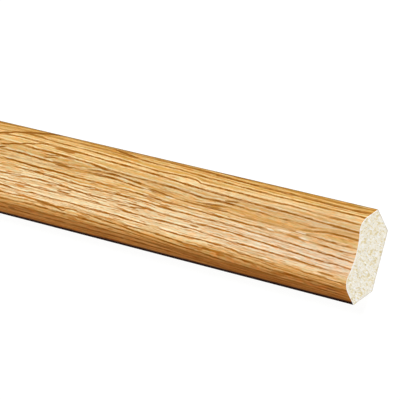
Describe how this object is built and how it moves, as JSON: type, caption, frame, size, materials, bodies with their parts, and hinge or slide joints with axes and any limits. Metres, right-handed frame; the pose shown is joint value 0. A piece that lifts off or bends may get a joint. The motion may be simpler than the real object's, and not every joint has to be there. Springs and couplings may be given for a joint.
{
  "type": "cove trim moulding",
  "caption": "Straight length of sprung cove trim moulding with a shallow hollow face, rounded lips, bevelled back edges and a printed oak woodgrain, for covering an inside corner.",
  "frame": {"origin": "middle of the flat back, halfway along the length", "axes": "+X along the length, +Y across the face, +Z out of the back towards the hollow face"},
  "size_m": [2.4384, 0.041, 0.0139],
  "materials": {
    "moulding": "satin oak woodgrain printed on the face of foamed polystyrene, pale cellular foam at the cut ends"
  },
  "bodies": {
    "root": {"moulding": "moulding"}
  },
  "joints": []
}
